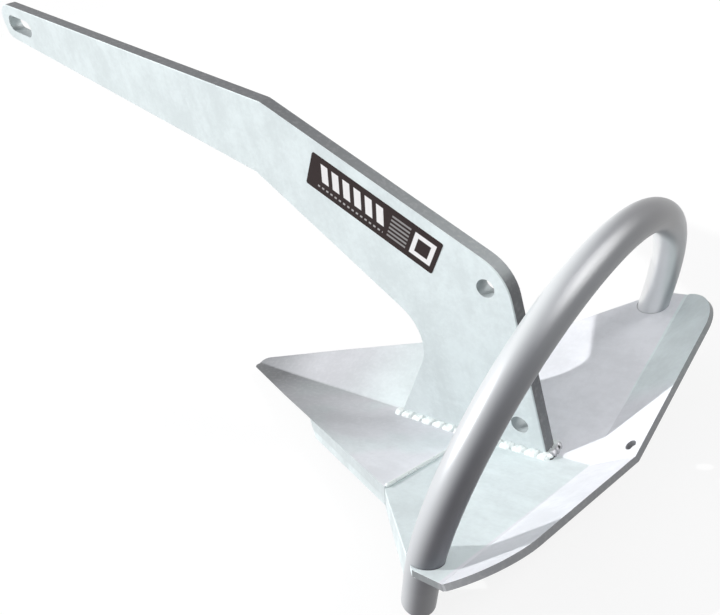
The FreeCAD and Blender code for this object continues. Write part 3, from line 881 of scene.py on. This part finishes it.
# %% The shapes on the sticker
BAR_PITCH = 0.0132
BAR_COUNT = 6
BAR_SHARE = 0.62
BAR_LEAN = 0.35
FIRST_BAR = -0.0616
ROW_HALF_LENGTH = BAR_PITCH * BAR_COUNT / 2
ROW_MIDDLE = FIRST_BAR + ROW_HALF_LENGTH
SLANTED_ROW = (ROW_MIDDLE, 0.0030, ROW_HALF_LENGTH, 0.0085)
DASHED_ROW = (ROW_MIDDLE, -0.0115, 0.0395, 0.0009)
DASH_PITCH = 0.0052
DASH_SHARE = 0.5
DASH_SHADE = 0.5
LINE_BLOCK = (0.0325, 0.0, 0.0105, 0.0135)
LINE_PITCH = 0.0042
LINE_SHARE = 0.45
LINE_SHADE = 0.32
SQUARE_OUTSIDE = (0.0590, 0.0, 0.0115, 0.0115)
SQUARE_INSIDE = (0.0590, 0.0, 0.0070, 0.0070)
STICKER_BLACK = colour(0.020, 0.012, 0.012)
STICKER_DUST = colour(0.032, 0.020, 0.020)
STICKER_WHITE = colour(0.86, 0.85, 0.85)
STICKER_GRAIN_PATCH = 0.002
STICKER_BUMP_STRENGTH = 0.08
STICKER_BUMP_HEIGHT = 0.0002

lean = aft + above * BAR_LEAN
slanted = stripes(lean - FIRST_BAR, BAR_PITCH, BAR_SHARE) * bar(lean, above, *SLANTED_ROW)
dashes = stripes(aft, DASH_PITCH, DASH_SHARE) * bar(aft, above, *DASHED_ROW) * DASH_SHADE
fine_lines = stripes(above, LINE_PITCH, LINE_SHARE) * bar(aft, above, *LINE_BLOCK) * LINE_SHADE
square = bar(aft, above, *SQUARE_OUTSIDE) - bar(aft, above, *SQUARE_INSIDE)
shapes = slanted + dashes + fine_lines + square
sticker_grain = sticker.mottle(STICKER_GRAIN_PATCH)
black = sticker.blend(sticker_grain, STICKER_BLACK, STICKER_DUST)
sticker.surface(Base_Color=sticker.blend(shapes, black, STICKER_WHITE),
                Normal=sticker.bumps(sticker_grain, STICKER_BUMP_STRENGTH, STICKER_BUMP_HEIGHT))
nodes["label"].data.materials.clear()
nodes["label"].data.materials.append(sticker.material)
print("sticker finish:", sticker.material.name, "with", BAR_COUNT, "slanted bars")

# %% [markdown]
# ## Floor and world
# The anchor stands on a pale floor in a white studio. What the camera, or a reflection,
# sees of floor and world is white, and a Light Path node keeps that apart from what
# lights the object: a soft sky that is brighter ahead, to port and above than astern.

# %% The floor
FLOOR_RADIUS = 30.0
FLOOR_SIDES = 96
FLOOR_GAP = 0.0005
FLOOR_PATCH = 0.3
FLOOR_MOTTLE = 0.02
FLOOR_GLOW = 0.86
FLOOR_UNSEEN = colour(0.25, 0.25, 0.25)
FLOOR_SEEN = colour(0.98, 0.98, 0.98)
WHITE = colour(1, 1, 1)

floor_mesh = bpy.data.meshes.new("floor")
builder = bmesh.new()
bmesh.ops.create_circle(builder, cap_ends=True, segments=FLOOR_SIDES, radius=FLOOR_RADIUS)
builder.to_mesh(floor_mesh)
builder.free()
floor = bpy.data.objects.new("floor", floor_mesh)
bpy.context.scene.collection.objects.link(floor)
floor.location.z = cad_box[0][2] - FLOOR_GAP

floor_finish = Finish("floor_white", Roughness=0.9)
floor_seen = floor_finish.backdrop_rays()
floor_grain = floor_finish.mottle(FLOOR_PATCH) * FLOOR_MOTTLE
floor_finish.surface(Base_Color=floor_finish.blend(floor_seen - floor_grain, FLOOR_UNSEEN, FLOOR_SEEN))
glow = floor_finish.node("ShaderNodeEmission", None, {"Color": WHITE, "Strength": 1.0})
lit = Wire(floor_finish, floor_finish.shader.outputs[0])
glow_share = floor_seen * FLOOR_GLOW
floor_look = floor_finish.node("ShaderNodeMixShader", None, {0: glow_share, 1: lit, 2: glow})
floor_finish.put(floor_finish.tree.nodes["Material Output"].inputs["Surface"], floor_look)
floor_mesh.materials.append(floor_finish.material)
print("floor at z =", round(floor.location.z, 4))

# %% The world
SKY_LEAN = (0.37, 0.35, 0.22)
SKY_LEVEL = 0.335
SKY_TINT = colour(0.97, 0.98, 1.0)

world = bpy.data.worlds.new("studio")
world.use_nodes = True
bpy.context.scene.world = world
sky = Graph(world.node_tree)
direction = sky.node("ShaderNodeTexCoord").output("Generated")
level = (sky.dot(direction, SKY_LEAN) + SKY_LEVEL).larger(0.0)
soft_light = sky.node("ShaderNodeBackground", None, {"Color": SKY_TINT, "Strength": level})
white = sky.node("ShaderNodeBackground", None, {"Color": WHITE, "Strength": 1.0})
sky_look = sky.node("ShaderNodeMixShader", None, {0: sky.backdrop_rays(), 1: soft_light, 2: white})
sky.put(sky.tree.nodes["World Output"].inputs["Surface"], sky_look)
print("world:", world.name)

# %% [markdown]
# ## Light and camera
# One lamp gives the direction. Its place was found from the edges of the shadows in the
# photograph: it stands to port and ahead, a third of the way up, so the shank shades the
# starboard half of the blade and the hoop draws a band across the port wing. A second,
# wide and faint, stands high astern to starboard and lifts the hoop's dark side. The
# third stands close to it and is wider still. Only gloss sees that one, and it draws the
# bright streak along the hoop without paling the plates.

# %% The lamps
def toward(azimuth, height):
    """A direction from two angles in degrees: round from ahead to port, and up."""
    turn = math.radians(azimuth)
    climb = math.radians(height)
    level_part = math.cos(climb)
    return Vector((level_part * math.cos(turn), level_part * math.sin(turn), math.sin(climb)))


KEY_DIRECTION = toward(43.8, 31.9)
KEY_ENERGY = 2.55
KEY_WIDTH = 1.0
RIM_DIRECTION = toward(-150.0, 48.0)
RIM_ENERGY = 0.75
RIM_WIDTH = 16.0
STREAK_DIRECTION = toward(-143.0, 44.0)
STREAK_ENERGY = 5.4
STREAK_WIDTH = 52.0
LAMP_DISTANCE = 3.0


def far_lamp(name, direction, energy, width, gloss_only=False):
    """A far lamp in a direction, which looks so many degrees wide."""
    data = bpy.data.lights.new(name, "SUN")
    data.energy = energy
    data.angle = math.radians(width)
    lamp = bpy.data.objects.new(name, data)
    bpy.context.scene.collection.objects.link(lamp)
    lamp.rotation_euler = direction.to_track_quat("Z", "Y").to_euler()
    lamp.location = direction * LAMP_DISTANCE
    lamp.visible_diffuse = not gloss_only


far_lamp("key", KEY_DIRECTION, KEY_ENERGY, KEY_WIDTH)
far_lamp("rim", RIM_DIRECTION, RIM_ENERGY, RIM_WIDTH)
far_lamp("streak", STREAK_DIRECTION, STREAK_ENERGY, STREAK_WIDTH, gloss_only=True)
print("the key lamp stands towards", [round(value, 3) for value in KEY_DIRECTION])

# %% [markdown]
# The camera looks down from astern to port and leans to one side, as the photograph
# does. Its place, angles and lens were found from the object's own points and lines. A
# small shift of the lens puts the anchor where the photograph has it in the frame.

# %% The camera
CAMERA_PLACE = Vector((-0.59952, 0.44982, 0.46145))
CAMERA_AZIMUTH = math.radians(-38.107)
CAMERA_DIP = math.radians(27.344)
CAMERA_ROLL = math.radians(-16.208)
LENS = 36.943
SENSOR_WIDTH = 36.0
SHIFT_RIGHT = 0.0682
SHIFT_UP = 0.0312
FARTHEST_SEEN = 100.0

forward = Vector((math.cos(CAMERA_DIP) * math.cos(CAMERA_AZIMUTH),
                  math.cos(CAMERA_DIP) * math.sin(CAMERA_AZIMUTH), -math.sin(CAMERA_DIP)))
level_right = forward.cross(Vector((0, 0, 1))).normalized()
level_up = level_right.cross(forward)
right = level_right * math.cos(CAMERA_ROLL) + level_up * math.sin(CAMERA_ROLL)
up = right.cross(forward)
camera_data = bpy.data.cameras.new("camera")
camera_data.sensor_fit = "HORIZONTAL"
camera_data.sensor_width = SENSOR_WIDTH
camera_data.lens = LENS
camera_data.shift_x = SHIFT_RIGHT
camera_data.shift_y = SHIFT_UP
camera_data.clip_end = FARTHEST_SEEN
camera = bpy.data.objects.new("camera", camera_data)
bpy.context.scene.collection.objects.link(camera)
turn = Matrix((right, up, -forward)).transposed().to_4x4()
camera.matrix_world = Matrix.Translation(CAMERA_PLACE) @ turn
bpy.context.scene.camera = camera
bpy.context.scene.view_settings.view_transform = "Standard"
print("camera at", [round(value, 3) for value in CAMERA_PLACE])
